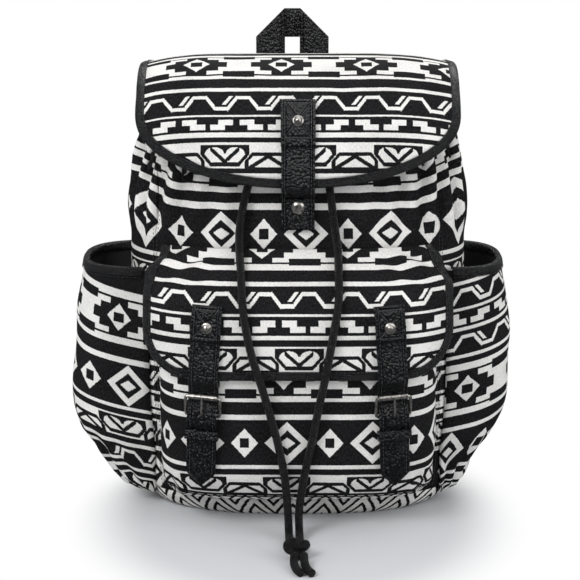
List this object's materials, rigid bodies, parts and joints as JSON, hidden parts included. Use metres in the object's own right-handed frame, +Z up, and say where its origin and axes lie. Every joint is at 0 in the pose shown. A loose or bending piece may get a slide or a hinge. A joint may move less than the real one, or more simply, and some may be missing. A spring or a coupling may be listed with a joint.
{
  "type": "canvas backpack",
  "caption": "Drawstring canvas rucksack with a bound flap and snap strap, a buckled front pocket, open side pockets, a folded grab handle and padded shoulder straps.",
  "frame": {"origin": "centre of the flat base, on the floor it stands on", "axes": "+Z up, -Y out of the front with its buckled pocket, +X to the viewer's right of that front"},
  "size_m": [0.381, 0.3095, 0.42],
  "materials": {
    "canvas": "woven, off-white and black pattern",
    "leather": "pebbled, satin",
    "nickel": "satin, slightly aged",
    "cord": "round, smooth, satin",
    "webbing": "woven webbing",
    "padding": "padded cloth, matte",
    "plastic": "moulded, matte"
  },
  "bodies": {
    "bag": {"back_panel": "canvas", "base_panel": "canvas", "base_strap_left": "leather", "base_strap_right": "leather", "buckle_strap_left": "leather", "buckle_strap_right": "leather", "closing_strap": "leather", "closing_stud": "nickel", "closing_tab": "leather", "drawstring_hem_run": "cord", "drawstring_knot": "cord", "drawstring_left": "cord", "drawstring_right": "cord", "drawstring_tail_left": "cord", "drawstring_tail_right": "cord", "eyelet_left": "nickel", "eyelet_right": "nickel", "flap_binding": "leather", "front_panel": "canvas", "front_pocket": "canvas", "grab_handle": "leather", "keeper_left": "leather", "keeper_right": "leather", "ladder_lock_left": "plastic", "ladder_lock_right": "plastic", "left_panel": "canvas", "lock_loop_left": "webbing", "lock_loop_right": "webbing", "mouth_hem": "canvas", "pocket_flap": "canvas", "pocket_flap_binding": "leather", "right_panel": "canvas", "shoulder_strap_left": "padding", "shoulder_strap_right": "padding", "shoulder_webbing_left": "webbing", "shoulder_webbing_right": "webbing", "side_pocket_binding_left": "leather", "side_pocket_binding_right": "leather", "side_pocket_left": "canvas", "side_pocket_right": "canvas", "snap_cap": "nickel", "snap_stud": "nickel", "strap_stud_left": "nickel", "strap_stud_right": "nickel", "strap_tab_left": "leather", "strap_tab_right": "leather", "top_flap": "canvas"},
    "buckle_left": {"buckle_frame_left": "nickel"},
    "prong_left": {"buckle_prong_left": "nickel"},
    "roller_left": {"buckle_roller_left": "nickel"},
    "buckle_right": {"buckle_frame_right": "nickel"},
    "prong_right": {"buckle_prong_right": "nickel"},
    "roller_right": {"buckle_roller_right": "nickel"}
  },
  "joints": [
    {"name": "buckle_swing_left", "type": "hinge", "parent": "bag", "child": "buckle_left", "pos_m": [-0.07823, -0.12102, 0.1087], "axis": [0.9863, -0.1562, -0.0523], "range_deg": [0, 8]},
    {"name": "prong_swing_left", "type": "hinge", "parent": "buckle_left", "child": "prong_left", "pos_m": [-0.07823, -0.12102, 0.1087], "axis": [0.9863, -0.1562, -0.0523], "range_deg": [0, 12]},
    {"name": "roller_spin_left", "type": "hinge", "parent": "buckle_left", "child": "roller_left", "pos_m": [-0.078, -0.12521, 0.12568], "axis": [0.9863, -0.1562, -0.0523], "continuous": true},
    {"name": "buckle_swing_right", "type": "hinge", "parent": "bag", "child": "buckle_right", "pos_m": [0.07823, -0.12102, 0.1087], "axis": [0.9863, 0.1562, 0.0523], "range_deg": [0, 8]},
    {"name": "prong_swing_right", "type": "hinge", "parent": "buckle_right", "child": "prong_right", "pos_m": [0.07823, -0.12102, 0.1087], "axis": [0.9863, 0.1562, 0.0523], "range_deg": [0, 12]},
    {"name": "roller_spin_right", "type": "hinge", "parent": "buckle_right", "child": "roller_right", "pos_m": [0.078, -0.12521, 0.12568], "axis": [0.9863, 0.1562, 0.0523], "continuous": true}
  ]
}
